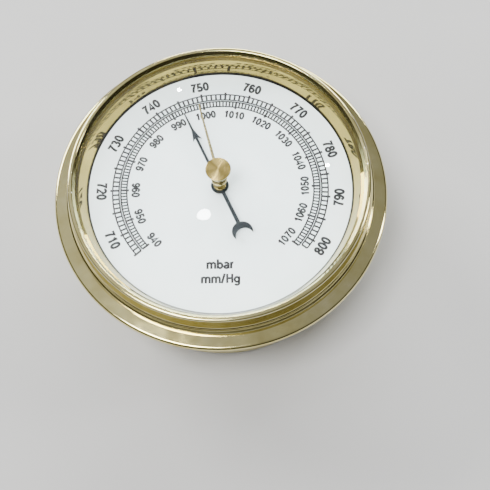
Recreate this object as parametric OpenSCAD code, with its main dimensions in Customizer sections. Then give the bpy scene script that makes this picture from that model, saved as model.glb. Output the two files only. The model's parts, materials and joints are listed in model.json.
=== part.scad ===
// Aneroid barometer for panel mounting: a brass drum and flange, a stepped bezel with a domed
// crystal, a hand-set marker, and a capsule movement with main spring, rocker, chain and hairspring.
// +Z points out of the dial, +Y at 12 o'clock, and z = 0 is the outside of the back cover.

/* [Case] */
// Outer diameter of the drum that goes through the panel
drum_d = 72; // [71:0.5:78]
// Width of the mounting flange outside the drum
flange_w = 6.5; // [6:0.25:12]
// Depth of the drum behind the mounting flange
case_depth = 24; // [24:0.5:30]
// Thickness of the drum's wall
wall = 0.6; // [0.5:0.05:0.7]
// Thickness of the back cover
cover_t = 1.2; // [1:0.1:1.3]

/* [Front] */
// Height of the reflector ring above the dial
reflector_h = 4.75; // [4.5:0.05:6]
// Thickness of the crystal
crystal_t = 1; // [0.8:0.1:1.2]
// How far the crystal's middle stands above its edge
crystal_rise = 1.45; // [1:0.05:2]
// Diameter of the setting knob's face
knob_d = 6.28; // [5:0.1:8]
// Height of the setting knob
knob_h = 3.7; // [3:0.1:6]

/* [Hands] */
// Air pressure that the pointer shows, in millibar
reading = 993.2; // [980:0.1:1015]
// Angle of the set hand from 12 o'clock, anticlockwise
marker_angle = 13.5; // [-130:0.5:130]
// Length of the pointer from its axis to its tip
pointer_len = 23; // [20:0.5:24]
// Length of the set hand from its axis to its tip
marker_len = 22.1; // [18:0.1:24]

/* [Movement] */
// Diameter of the aneroid capsule over its rim
capsule_d = 31.6; // [28:0.2:31.6]
// Rise of the capsule's post over the whole scale
capsule_travel = 0.5; // [0.3:0.05:0.6]
// Length of the rocker's chain arm
chain_arm_len = 11; // [10.8:0.1:11.2]
// Radius at which the chain lies on its drum
chain_r = 2.2; // [2.1:0.05:2.3]
// Thickness of the main spring's leaf
leaf_t = 0.8; // [0.6:0.1:1]

/* [Hidden] */
$fn = 96;
fit = 0.02;
running = 0.05;

// Front of the case, measured from the drum's radius and from the dial's face.
drum_r = drum_d / 2;
flange_r = drum_r + flange_w;
flange_depth = 2.4;
dial_z = case_depth + flange_depth;
dial_t = 0.8;
dial_r = drum_r - wall - 0.2;
flange_top = -0.3;
drum_seat = 0.1;
collar_top = 3.6;
collar_in = 1;
collar_out = 1.6;
gasket_t = 0.8;
seal_t = 0.2;
crystal_r = drum_r + 0.7;
crystal_z = reflector_h + seal_t;
lip_z = crystal_z + crystal_t + 0.1;
crystal_top = crystal_z + crystal_t + crystal_rise;
crystal_hole = 1.15;
stem_r = 1.08;
knob_seat = crystal_top + 0.2;
knob_r = knob_d / 2;

// Levels of the movement.
base_z = cover_t + 2;
base_t = 1.5;
base_top = base_z + base_t;
base_r = 29.5;
capsule_r = capsule_d / 2;
capsule_h = 2.6;
stud_flange = 1;
capsule_mid = base_top + stud_flange + capsule_h;
post_z = capsule_mid + capsule_h;
leaf_z = post_z + 2.1;
lever_z = leaf_z + leaf_t;
lever_t = 0.8;
bridge_z = base_top + 11.8;
bridge_t = 1;
upper_z = bridge_z + 6.4;
drum_z = bridge_z + 2.2;
drum_h = 1.6;
chain_z = drum_z + drum_h / 2;
spring_z = bridge_z + 4.7;

// Places of the movement's pieces.
block_x = -17.5;
block_len = 7.5;
block_w = 13;
clamp_x = block_x - block_len / 2;
clamp_y = 3.6;
adjuster_x = block_x - 5.7;
lever_pivot_x = 2 / 3 * block_x / 2;
pivot_arm = -lever_pivot_x;
link_x = 22;
link_top = lever_z - 1.8;
rocker_z = chain_z - chain_arm_len;
lower_pillar_y = 18.8;
upper_pillar_y = 10;
dial_pillar_r = 27;
movement_screw_r = 24;
cover_screw_r = drum_r - 2.8;

// Motion: two degrees of dial for each millibar, 1005 mbar at 12 o'clock, 940 to 1070 in all.
pointer_angle = 2 * (1005 - reading);
dial_span = 260;
rocker_ratio = chain_r / chain_arm_len;
rocker_tilt = rocker_ratio * pointer_angle;
lever_span = capsule_travel / pivot_arm;
link_travel = lever_span * (link_x + pivot_arm);
link_arm_len = link_travel / (rocker_ratio * dial_span * PI / 180);
rocker_x = link_x + link_arm_len * cos(rocker_tilt);
link_bottom = rocker_z + link_arm_len * sin(rocker_tilt);
chain_end_x = rocker_x + chain_arm_len * sin(rocker_tilt) - 0.95;

brass = "#c9b26a";
dark_brass = "#a8905a";
steel = "#8d9298";
blued = "#30363f";

// ---- helpers ----

// A ring turned from an outline given outside the drum's radius and above the dial's face.
module front_ring(points) {
    translate([0, 0, dial_z])
        rotate_extrude()
            polygon([for (p = points) [drum_r + p[0], p[1]]]);
}

// Children copied to each angle on a circle.
module around(radius, angles) {
    for (a = angles)
        rotate([0, 0, a])
            translate([radius, 0, 0])
                children();
}

// Children copied to +y and -y.
module both_sides(y) {
    for (side = [-1, 1])
        translate([0, side * y, 0])
            children();
}

// A cheese-head screw with its head on z = 0 and its shank below.
module cheese_screw(head_r, head_h, shank_r, len) {
    slot_w = 0.45;
    difference() {
        union() {
            cylinder(r = head_r, h = head_h);
            translate([0, 0, -len])
                cylinder(r = shank_r, h = len);
        }
        translate([-head_r, -slot_w / 2, head_h - 0.4])
            cube([2 * head_r, slot_w, 1]);
    }
}

// A countersunk screw that points up, with its head's face at z = 0.
module countersunk_screw(head_r, shank_r, len) {
    slot_w = 0.5;
    difference() {
        union() {
            cylinder(r1 = head_r, r2 = shank_r, h = head_r - shank_r);
            cylinder(r = shank_r, h = len);
        }
        translate([-head_r, -slot_w / 2, -0.1])
            cube([2 * head_r, slot_w, 0.5]);
    }
}

// The hole for such a screw.
module countersink(head_r, shank_r, len) {
    translate([0, 0, -0.1])
        cylinder(r1 = head_r + 0.1 + running, r2 = shank_r + running, h = head_r - shank_r + 0.1);
    cylinder(r = shank_r + running, h = len);
}

// A flat bar with round ends, along y.
module round_bar(half_len, half_w, t) {
    translate([-half_w, -half_len, 0])
        cube([2 * half_w, 2 * half_len, t]);
    both_sides(half_len)
        cylinder(r = half_w, h = t);
}

// Children in the rocker's own frame: its axis along y, its chain arm up.
module on_rocker() {
    translate([rocker_x, 0, rocker_z])
        rotate([0, rocker_tilt, 0])
            children();
}

// A cylinder along y from y0 to y1.
module y_rod(r, y0, y1) {
    translate([0, y1, 0])
        rotate([90, 0, 0])
            cylinder(r = r, h = y1 - y0);
}

// ---- case ----

// The flange, with a shallow seat for the drum's end and a spigot inside the drum.
module mounting_flange() {
    edge_r = 0.9;
    rear = -flange_depth;
    spigot_r = drum_r - wall - fit;
    spigot_in = spigot_r - 0.6;
    spigot_h = 1.8;
    color(brass)
        translate([0, 0, dial_z])
            rotate_extrude() {
                polygon([
                    [spigot_in, rear - spigot_h], [spigot_r, rear - spigot_h],
                    [spigot_r, rear + drum_seat], [drum_r + fit, rear + drum_seat],
                    [drum_r + fit, rear], [flange_r - edge_r, rear],
                    [flange_r - edge_r, rear + 2 * edge_r], [drum_r + 3, flange_top],
                    [drum_r + collar_out, flange_top], [drum_r + collar_out, collar_top],
                    [drum_r + collar_in, collar_top], [drum_r + collar_in, flange_top],
                    [drum_r - wall, flange_top], [drum_r - wall, -1.2], [spigot_in, -1.2]
                ]);
                translate([flange_r - edge_r, rear + edge_r])
                    circle(r = edge_r);
            }
}

module case_drum() {
    lip_in = drum_r - 5;
    front = case_depth + drum_seat;
    color(brass)
        difference() {
            rotate_extrude()
                polygon([
                    [lip_in, cover_t], [drum_r, cover_t], [drum_r, front],
                    [drum_r - wall, front], [drum_r - wall, cover_t + 1.5],
                    [lip_in, cover_t + 1.5]
                ]);
            around(cover_screw_r, [30, 150, 270])
                translate([0, 0, cover_t - 1])
                    cylinder(r = 0.8 + fit, h = 4);
        }
}

module back_cover() {
    edge = 0.4;
    rim_r = drum_r - 0.6;
    color(brass)
        difference() {
            rotate_extrude()
                polygon([[0, 0], [rim_r - edge, 0], [rim_r, edge], [rim_r, cover_t], [0, cover_t]]);
            around(cover_screw_r, [30, 150, 270])
                countersink(1.7, 0.8, 3);
            around(movement_screw_r, [90, 210, 330])
                countersink(2.1, 1.2, 3);
            translate([adjuster_x, 0, -1])
                cylinder(r = 2.6, h = 4);
            translate([0, -13, -1])
                cylinder(r = 0.75, h = 4);
        }
}

module back_cover_screws() {
    color(brass)
        around(cover_screw_r, [30, 150, 270])
            translate([0, 0, fit])
                countersunk_screw(1.7, 0.8, cover_t + 1.3);
}

module bezel_ring() {
    bead_r = 0.66;
    bead_z = lip_z + 0.35;
    color(brass)
        translate([0, 0, dial_z])
            rotate_extrude() {
                polygon([
                    [drum_r + collar_out + running, flange_top], [drum_r + 3.05, flange_top],
                    [drum_r + 3.05, 1.2], [drum_r + 2.5, 1.6], [drum_r + 2.5, 2.6],
                    [drum_r + 2.2, 3], [drum_r + 1.12 + bead_r, bead_z],
                    [drum_r + 1.12, bead_z + bead_r], [drum_r + 0.66, bead_z + 0.48],
                    [drum_r + 0.05, lip_z + 0.3], [drum_r + 0.05, lip_z],
                    [drum_r + 1, lip_z], [drum_r + 1, collar_top + 0.15],
                    [drum_r + collar_out + running, collar_top + 0.15]
                ]);
                translate([drum_r + 1.12, bead_z])
                    circle(r = bead_r);
            }
}

module crystal() {
    dome_r = (crystal_r * crystal_r + crystal_rise * crystal_rise) / (2 * crystal_rise);
    steps = 12;
    dome = [
        for (i = [0 : steps])
            let (r = crystal_hole + (crystal_r - crystal_hole) * i / steps)
            [r, crystal_top - dome_r + sqrt(dome_r * dome_r - r * r)]
    ];
    underside = [for (i = [steps : -1 : 0]) [dome[i][0], dome[i][1] - crystal_t]];
    color("#dfe8ea", 0.35)
        translate([0, 0, dial_z])
            rotate_extrude()
                polygon(concat(dome, underside));
}

module crystal_gasket() {
    inner = 0.5;
    outer = 0.8;
    color("#222222")
        front_ring([
            [inner, reflector_h], [outer, reflector_h], [outer, crystal_z], [inner, crystal_z]
        ]);
}

// The reflector: a hollow curve from the dial's face up to a lip on which the crystal's seal lies.
module reflector_ring() {
    foot = gasket_t;
    rim = 0.45;
    color("#d8c27a")
        front_ring([
            [-2.53, 0.03], [-2.2, 0.03], [-1.6, foot], [-0.8, foot], [-0.8, foot + 0.4],
            [-1.3, foot + 0.4], [0.19, reflector_h - rim], [0.9, reflector_h - rim],
            [0.9, reflector_h], [0.28, reflector_h], [-0.62, reflector_h - 0.59],
            [-1.46, 1.93], [-1.87, 0.97], [-2.13, 0.48]
        ]);
}

module dial_gasket() {
    inner = -1.5;
    outer = -0.8;
    color("#1c1c1c")
        front_ring([[inner, 0], [outer, 0], [outer, gasket_t], [inner, gasket_t]]);
}

module dial() {
    color("#eef0f2")
        translate([0, 0, dial_z - dial_t])
            difference() {
                cylinder(r = dial_r, h = dial_t);
                translate([0, 0, -1])
                    cylinder(r = 1.6, h = 3);
                around(dial_pillar_r, [50, 130, 270])
                    translate([0, 0, -1])
                        cylinder(r = 0.5 + fit, h = 1.4);
            }
}

module dial_feet() {
    color(steel)
        around(dial_pillar_r, [50, 130, 270])
            translate([0, 0, dial_z - dial_t]) {
                translate([0, 0, -4])
                    cylinder(r = 0.8, h = 4);
                cylinder(r = 0.5, h = 0.4);
            }
}

module dial_pillars() {
    color(dark_brass)
        around(dial_pillar_r, [50, 130, 270])
            difference() {
                union() {
                    translate([0, 0, base_top])
                        cylinder(r = 2.2, h = dial_z - dial_t - base_top);
                    translate([0, 0, base_z + 0.2])
                        cylinder(r = 1.2, h = base_t);
                }
                translate([0, 0, dial_z - dial_t - 4.5])
                    cylinder(r = 0.8 + fit, h = 6);
            }
}

// ---- set hand ----

module set_knob() {
    foot_r = 1.95;
    rim_h = 0.55;
    top = knob_seat + knob_h;
    color(brass)
        translate([0, 0, dial_z])
            rotate_extrude()
                polygon([
                    [0, knob_seat - 2.5], [stem_r, knob_seat - 2.5], [stem_r, knob_seat],
                    [foot_r, knob_seat], [knob_r - 0.15, top - rim_h - 0.2],
                    [knob_r, top - rim_h], [knob_r, top - 0.08], [knob_r - 0.1, top],
                    [knob_r - 0.25, top - 0.02], [0, top - 0.14]
                ]);
}

module knob_washer() {
    color(brass)
        translate([0, 0, dial_z + crystal_top + 0.02])
            difference() {
                cylinder(r = 1.9, h = 0.16);
                translate([0, 0, -1])
                    cylinder(r = stem_r + running, h = 3);
            }
}

module spring_washer() {
    inner = stem_r + 0.1;
    outer = 1.9;
    low = crystal_top - crystal_t - 0.54;
    cone = 0.37;
    sheet = 0.15;
    color(brass)
        translate([0, 0, dial_z])
            rotate_extrude()
                polygon([
                    [inner, low], [outer, low + cone], [outer, low + cone + sheet],
                    [inner, low + sheet]
                ]);
}

module set_hand() {
    hub_h = 0.6;
    hub_z = dial_z + crystal_top - crystal_t - 0.58 - hub_h;
    color(brass)
        rotate([0, 0, marker_angle])
            translate([0, 0, hub_z])
                difference() {
                    union() {
                        cylinder(r = 2, h = hub_h);
                        translate([0, 0, 0.1])
                            linear_extrude(0.2)
                                polygon([
                                    [-0.38, 0], [0.38, 0], [0.15, marker_len - 0.3],
                                    [0, marker_len], [-0.15, marker_len - 0.3]
                                ]);
                    }
                    translate([0, 0, -1])
                        cylinder(r = stem_r + fit, h = 3);
                }
}

// ---- pointer and its arbor ----

module pointer() {
    barb_r = 14.8;
    point_r = 17.3;
    moon_r = 13.8;
    color("#1d242b")
        rotate([0, 0, pointer_angle])
            translate([0, 0, dial_z + 1.4])
                linear_extrude(0.2)
                    difference() {
                        union() {
                            circle(r = 2.28);
                            polygon([
                                [-0.26, 0], [0.26, 0], [0.22, 16], [0.06, pointer_len],
                                [-0.06, pointer_len], [-0.22, 16]
                            ]);
                            polygon([
                                [0, barb_r + 0.7], [0.98, barb_r], [0.62, barb_r + 0.9],
                                [0.22, point_r], [-0.22, point_r], [-0.62, barb_r + 0.9],
                                [-0.98, barb_r]
                            ]);
                            polygon([[-0.45, -11.6], [0.45, -11.6], [0.3, 0], [-0.3, 0]]);
                            difference() {
                                translate([0, -moon_r])
                                    circle(r = 2.5);
                                translate([0, -moon_r - 1.35])
                                    circle(r = 2.2);
                            }
                        }
                        circle(r = 1);
                    }
}

module pointer_boss() {
    bore = 0.5 + fit;
    color(brass)
        translate([0, 0, dial_z])
            rotate_extrude()
                polygon([
                    [bore, 0.5], [1.3, 0.5], [1.3, 1.38], [0.97, 1.38], [0.97, 1.62],
                    [1.6, 1.62], [1.6, 2.1], [1.5, 2.2], [bore, 2.2]
                ]);
}

module arbor() {
    shoulder = upper_z - running;
    color(steel)
        rotate_extrude()
            polygon([
                [0, bridge_z + 0.1], [0.3, bridge_z + 0.1], [0.3, bridge_z + bridge_t + running],
                [0.7, bridge_z + bridge_t + running], [0.7, shoulder], [0.5, shoulder],
                [0.5, dial_z + 2.25], [0.35, dial_z + 2.4], [0, dial_z + 2.4]
            ]);
}

module chain_drum() {
    core_r = chain_r - 0.28;
    color(brass)
        translate([0, 0, drum_z])
            rotate_extrude()
                polygon([
                    [0.72, 0], [2.9, 0], [2.9, 0.3], [core_r, 0.3], [core_r, drum_h - 0.3],
                    [2.9, drum_h - 0.3], [2.9, drum_h], [0.72, drum_h]
                ]);
}

module hairspring_collet() {
    color(brass)
        translate([0, 0, spring_z - 0.1])
            difference() {
                cylinder(r = 1.5, h = 0.9);
                translate([0, 0, -1])
                    cylinder(r = 0.72, h = 3);
            }
}

// A flat spiral ribbon from the collet out to the stud.
module hairspring() {
    turns = 4.25;
    inner = 1.66;
    outer = upper_pillar_y - 3.75;
    ribbon = 0.22;
    step = 12;
    function spiral(a, off) =
        let (r = inner + (outer - inner) * a / (360 * turns) + off)
        [r * cos(a), r * sin(a)];
    color("#51606f")
        translate([0, 0, spring_z])
            linear_extrude(0.7)
                polygon(concat(
                    [for (a = [0 : step : 360 * turns]) spiral(a, ribbon / 2)],
                    [for (a = [360 * turns : -step : 0]) spiral(a, -ribbon / 2)]
                ));
}

module hairspring_stud() {
    color(brass)
        translate([0, upper_pillar_y - 2.75, spring_z - 0.2])
            cylinder(r = 0.8, h = upper_z - spring_z + 0.2);
}

// ---- bridge over the capsule ----

module lower_bridge_pillars() {
    color(dark_brass)
        both_sides(lower_pillar_y)
            difference() {
                union() {
                    translate([0, 0, base_top])
                        cylinder(r = 2, h = bridge_z - base_top);
                    translate([0, 0, base_z + 0.2])
                        cylinder(r = 1, h = base_t);
                }
                translate([0, 0, bridge_z - 4.5])
                    cylinder(r = 0.9 + fit, h = 6);
            }
}

module lower_bridge_plate() {
    color(dark_brass)
        translate([0, 0, bridge_z])
            difference() {
                round_bar(lower_pillar_y, 3.6, bridge_t);
                translate([0, 0, -1]) {
                    cylinder(r = 0.3 + running, h = 3);
                    both_sides(lower_pillar_y)
                        cylinder(r = 0.95, h = 3);
                    both_sides(upper_pillar_y)
                        cylinder(r = 0.7 + fit, h = 3);
                }
            }
}

module upper_bridge_pillars() {
    color(dark_brass)
        both_sides(upper_pillar_y)
            difference() {
                union() {
                    translate([0, 0, bridge_z + bridge_t])
                        cylinder(r = 1.6, h = upper_z - bridge_z - bridge_t);
                    translate([0, 0, bridge_z + 0.1])
                        cylinder(r = 0.7, h = bridge_t);
                }
                translate([0, 0, upper_z - 3])
                    cylinder(r = 0.8 + fit, h = 5);
            }
}

module upper_bridge_plate() {
    color(dark_brass)
        translate([0, 0, upper_z])
            difference() {
                round_bar(upper_pillar_y, 3, bridge_t);
                translate([0, 0, -1]) {
                    cylinder(r = 0.5 + running, h = 3);
                    both_sides(upper_pillar_y)
                        cylinder(r = 0.85, h = 3);
                }
            }
}

module bridge_screws() {
    color(steel) {
        both_sides(lower_pillar_y)
            translate([0, 0, bridge_z + bridge_t])
                cheese_screw(1.7, 0.9, 0.9, 4.5);
        both_sides(upper_pillar_y)
            translate([0, 0, upper_z + bridge_t])
                cheese_screw(1.5, 0.8, 0.8, 3.2);
    }
}

// ---- base plate ----

module base_plate() {
    color(dark_brass)
        translate([0, 0, base_z])
            difference() {
                cylinder(r = base_r, h = base_t);
                translate([0, 0, -1]) {
                    cylinder(r = 1.5 + fit, h = 4);
                    around(movement_screw_r, [90, 210, 330])
                        cylinder(r = 1.2 + fit, h = 4);
                    around(dial_pillar_r, [50, 130, 270])
                        cylinder(r = 1.2 + fit, h = 4);
                    both_sides(lower_pillar_y)
                        cylinder(r = 1 + fit, h = 4);
                    translate([adjuster_x, 0, 0])
                        cylinder(r = 1.5 + running, h = 4);
                    translate([block_x - 1.7, 0, 0])
                        both_sides(4.3)
                            cylinder(r = 0.95, h = 4);
                    translate([rocker_x, -0.4, 0])
                        both_sides(4.6)
                            cylinder(r = 0.8 + fit, h = 4);
                }
            }
}

module movement_spacers() {
    color(dark_brass)
        around(movement_screw_r, [90, 210, 330])
            translate([0, 0, cover_t])
                difference() {
                    cylinder(r = 3, h = base_z - cover_t);
                    translate([0, 0, -1])
                        cylinder(r = 1.3, h = 5);
                }
}

module movement_screws() {
    color(brass)
        around(movement_screw_r, [90, 210, 330])
            translate([0, 0, fit])
                countersunk_screw(2.1, 1.2, base_top - 0.3);
}

// ---- capsule ----

module capsule_stud() {
    color(brass)
        rotate_extrude()
            polygon([
                [0, cover_t + 0.4], [1.5, cover_t + 0.4], [1.5, base_top], [3.6, base_top],
                [3.6, base_top + stud_flange], [0, base_top + stud_flange]
            ]);
}

module capsule_nut() {
    color(brass)
        translate([0, 0, base_z - 1.2])
            difference() {
                cylinder(r = 3.1, h = 1.2, $fn = 6);
                translate([0, 0, -1])
                    cylinder(r = 1.5 + fit, h = 4);
            }
}

// Half of the capsule's skin, corrugated, above its middle plane.
module diaphragm() {
    sheet = 0.22;
    crown_r = 4;
    foot_r = capsule_r - 1.8;
    steps = 32;
    waves = 4;
    outer = [
        for (i = [0 : steps])
            let (f = i / steps)
            [crown_r + (foot_r - crown_r) * f, capsule_h - 1.5 * f - 0.35 * sin(360 * waves * f)]
    ];
    skin = concat(
        [[0, capsule_h]], outer,
        [[foot_r + 0.4, sheet], [capsule_r, sheet]]
    );
    lower = [for (i = [len(skin) - 1 : -1 : 0]) [skin[i][0], max(0, skin[i][1] - sheet)]];
    rotate_extrude()
        polygon(concat(skin, lower));
}

module capsule_lower_diaphragm() {
    color("#b9a57a")
        translate([0, 0, capsule_mid])
            mirror([0, 0, 1])
                diaphragm();
}

module capsule_upper_diaphragm() {
    color("#b9a57a")
        translate([0, 0, capsule_mid])
            diaphragm();
}

module capsule_post() {
    pin_z = lever_z + 0.48;
    color(brass)
        difference() {
            translate([0, 0, post_z]) {
                cylinder(r = 3.2, h = 0.8);
                cylinder(r = 1.3, h = pin_z + 0.9 - post_z);
            }
            translate([0, 0, pin_z])
                y_rod(0.45 + fit, -3, 3);
        }
}

module post_pin() {
    color(steel)
        translate([0, 0, lever_z + 0.48])
            y_rod(0.45, -3.4, 3.4);
}

// ---- main spring and lever ----

module spring_block() {
    color(steel)
        difference() {
            translate([block_x - block_len, -block_w / 2, base_top])
                cube([block_len, block_w, leaf_z - base_top]);
            translate([adjuster_x, 0, base_top - 1])
                cylinder(r = 1.7, h = 2.6);
            translate([block_x - 1.7, 0, base_top - 1])
                both_sides(4.3)
                    cylinder(r = 0.9 + fit, h = 5);
            translate([clamp_x, 0, leaf_z - 4])
                both_sides(clamp_y)
                    cylinder(r = 0.9 + fit, h = 5);
        }
}

module spring_block_screws() {
    color(steel)
        translate([block_x - 1.7, 0, base_z])
            both_sides(4.3)
                mirror([0, 0, 1])
                    cheese_screw(1.6, 0.9, 0.9, base_t + 3.4);
}

module main_spring() {
    tip_x = 7;
    color(blued)
        translate([0, 0, leaf_z])
            difference() {
                linear_extrude(leaf_t)
                    polygon([
                        [block_x - block_len, -6], [block_x, -6], [tip_x, -4],
                        [tip_x, 4], [block_x, 6], [block_x - block_len, 6]
                    ]);
                translate([0, 0, -1]) {
                    cylinder(r = 1.7, h = 4);
                    translate([clamp_x, 0, 0])
                        both_sides(clamp_y)
                            cylinder(r = 1, h = 4);
                    translate([4.6, 0, 0])
                        both_sides(2.4)
                            cylinder(r = 0.6 + fit, h = 4);
                }
            }
}

module spring_clamp() {
    color(steel)
        translate([block_x - block_len, -6, lever_z])
            difference() {
                cube([block_len, 12, 1.2]);
                translate([block_len / 2, 6, -1])
                    both_sides(clamp_y)
                        cylinder(r = 1, h = 4);
            }
}

module spring_clamp_screws() {
    color(blued)
        translate([clamp_x, 0, lever_z + 1.2])
            both_sides(clamp_y)
                cheese_screw(1.8, 1.1, 0.9, leaf_t + 4.6);
}

module adjusting_screw() {
    head_r = 2.2;
    head_z = cover_t + 0.25;
    color(brass)
        translate([adjuster_x, 0, 0])
            difference() {
                union() {
                    translate([0, 0, head_z])
                        cylinder(r = head_r, h = 1.1);
                    translate([0, 0, head_z])
                        cylinder(r = 1.5, h = base_top + 1.4 - head_z);
                }
                translate([-head_r - 1, -0.35, head_z - 1])
                    cube([2 * head_r + 2, 0.7, 1.6]);
            }
}

module main_lever() {
    ear_y = 0.5;
    ear_t = 0.7;
    color(steel)
        difference() {
            union() {
                translate([0, 0, lever_z])
                    linear_extrude(lever_t)
                        polygon([
                            [2.6, -4], [6.4, -4], [10.5, -1.2], [link_x + 1, -1.2],
                            [link_x + 1, 1.2], [10.5, 1.2], [6.4, 4], [2.6, 4]
                        ]);
                translate([link_x - 1, ear_y, link_top - 1])
                    cube([2, ear_t, lever_z + 0.1 - link_top + 1]);
            }
            translate([4.6, 0, lever_z - 1])
                both_sides(2.4)
                    cylinder(r = 0.6 + fit, h = 4);
            translate([link_x, 0, link_top])
                y_rod(0.35 + fit, 0, 2);
        }
}

module compensation_strip() {
    color(brass)
        translate([8, -1, lever_z + lever_t])
            cube([11.5, 2, 0.4]);
}

module lever_rivets() {
    color(brass)
        translate([4.6, 0, 0])
            both_sides(2.4) {
                translate([0, 0, leaf_z - 0.5])
                    cylinder(r = 1.1, h = 0.5);
                translate([0, 0, leaf_z - 0.5])
                    cylinder(r = 0.6, h = leaf_t + lever_t + 1);
                translate([0, 0, lever_z + lever_t])
                    cylinder(r = 1.1, h = 0.5);
            }
}

module lever_pin() {
    color(brass)
        translate([link_x, 0, link_top])
            y_rod(0.35, -0.8, 1.4);
}

module link_rod() {
    strip_t = 0.28;
    eye_r = 1.3;
    color(steel)
        difference() {
            union() {
                for (z = [link_bottom, link_top])
                    translate([link_x, 0, z])
                        y_rod(eye_r, -strip_t, strip_t);
                translate([link_x - 0.6, -strip_t, link_bottom])
                    cube([1.2, 2 * strip_t, link_top - link_bottom]);
            }
            for (z = [link_bottom, link_top])
                translate([link_x, 0, z])
                    y_rod(0.8, -1, 1);
        }
}

// ---- rocker ----

module rocker_bracket() {
    ear_h = rocker_z + 2 - base_top;
    color(dark_brass)
        difference() {
            translate([rocker_x - 3.5, -8.4, base_top]) {
                cube([7, 16, 0.8]);
                cube([7, 1, ear_h]);
                translate([0, 15, 0])
                    cube([7, 1, ear_h]);
            }
            translate([rocker_x, -0.4, rocker_z])
                y_rod(1 + fit, -10, 10);
            translate([rocker_x, -0.4, base_top - 1])
                both_sides(4.6)
                    cylinder(r = 0.8 + fit, h = 3);
        }
}

module rocker_bracket_screws() {
    color(steel)
        translate([rocker_x, -0.4, base_top + 0.8])
            both_sides(4.6)
                cheese_screw(1.5, 0.8, 0.8, 2);
}

// Two screws whose cone points carry the rocker's shaft.
module rocker_pivot_screws() {
    color(brass)
        translate([rocker_x, -0.4, rocker_z])
            for (side = [0, 1])
                mirror([0, side, 0])
                    difference() {
                        union() {
                            y_rod(1, 6.5, 9.3);
                            y_rod(0.6, 6.2, 7);
                            translate([0, 6.2, 0])
                                rotate([90, 0, 0])
                                    cylinder(r1 = 0.6, r2 = 0, h = 0.6);
                        }
                        translate([-1.5, 8.9, -0.2])
                            cube([3, 1, 0.4]);
                    }
}

module rocker_shaft() {
    half = 6.1;
    cup = 0.65;
    color(steel)
        translate([0, -0.4, 0])
            translate([rocker_x, 0, rocker_z])
                difference() {
                    y_rod(0.9, -half, half);
                    for (side = [0, 1])
                        mirror([0, side, 0])
                            translate([0, half + 0.1, 0])
                                rotate([90, 0, 0])
                                    cylinder(r1 = cup + 0.1, r2 = 0, h = cup + 0.1);
                }
}

// The collar and flat bar of a rocker arm, from the shaft to its tip.
module rocker_arm(len, tip_r, hole_r, y0, t, collar_y, collar_w) {
    difference() {
        union() {
            y_rod(1.8, collar_y, collar_y + collar_w);
            translate([-0.6, y0, 0])
                cube([1.2, t, len]);
            translate([0, 0, len])
                y_rod(tip_r, y0, y0 + t);
        }
        y_rod(0.9 + fit, collar_y - 1, collar_y + collar_w + 1);
        translate([0, 0, len])
            y_rod(hole_r + fit, y0 - 1, y0 + t + 1);
    }
}

module link_arm() {
    color(brass)
        on_rocker()
            rotate([0, -90, 0])
                rocker_arm(link_arm_len, 0.75, 0.35, 0.5, 0.8, 0.5, 1.4);
}

module chain_arm() {
    color(brass)
        on_rocker()
            rocker_arm(chain_arm_len, 0.9, 0.3, -chain_r - 0.4, 0.8, -chain_r - 0.7, 1.4);
}

module arm_pins() {
    color(steel)
        on_rocker() {
            translate([-link_arm_len, 0, 0])
                y_rod(0.35, -0.7, 1.5);
            translate([0, 0, chain_arm_len])
                y_rod(0.3, -chain_r - 0.8, -chain_r + 0.8);
        }
}

// A fine riveted chain: a straight run to the rocker, and its end wrapped on the drum.
module chain() {
    pitch = 0.8;
    link_r = 0.25;
    tall = 0.8;
    wrap = 130;
    links = floor(chain_end_x / pitch) - 1;
    color(steel)
        translate([0, 0, chain_z - tall / 2]) {
            translate([-0.3, -chain_r - 0.15, tall / 4])
                cube([chain_end_x + 0.3, 0.3, tall / 2]);
            for (i = [1 : links])
                translate([i * pitch, -chain_r, 0])
                    cylinder(r = link_r, h = tall);
            rotate([0, 0, -90 - wrap])
                rotate_extrude(angle = wrap)
                    translate([chain_r - 0.15, tall / 4])
                        square([0.3, tall / 2]);
        }
}

mounting_flange();
case_drum();
back_cover();
back_cover_screws();
bezel_ring();
crystal();
crystal_gasket();
reflector_ring();
dial_gasket();
dial();
dial_feet();
dial_pillars();
set_knob();
knob_washer();
spring_washer();
set_hand();
pointer();
pointer_boss();
arbor();
chain_drum();
hairspring_collet();
hairspring();
hairspring_stud();
lower_bridge_pillars();
lower_bridge_plate();
upper_bridge_pillars();
upper_bridge_plate();
bridge_screws();
base_plate();
movement_spacers();
movement_screws();
capsule_stud();
capsule_nut();
capsule_lower_diaphragm();
capsule_upper_diaphragm();
capsule_post();
post_pin();
spring_block();
spring_block_screws();
main_spring();
spring_clamp();
spring_clamp_screws();
adjusting_screw();
main_lever();
compensation_strip();
lever_rivets();
lever_pin();
link_rod();
rocker_bracket();
rocker_bracket_screws();
rocker_pivot_screws();
rocker_shaft();
link_arm();
chain_arm();
arm_pins();
chain();
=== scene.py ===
"""Looks of the aneroid barometer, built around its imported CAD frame.

Everything is in the CAD frame: +Z out of the dial, +Y at 12 o'clock, z = 0 at the back.
Lengths in this file are millimetres until a mesh is made; MM turns them into metres.
"""

import json
import math

import bmesh
import bpy
from mathutils import Matrix, Vector


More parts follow.
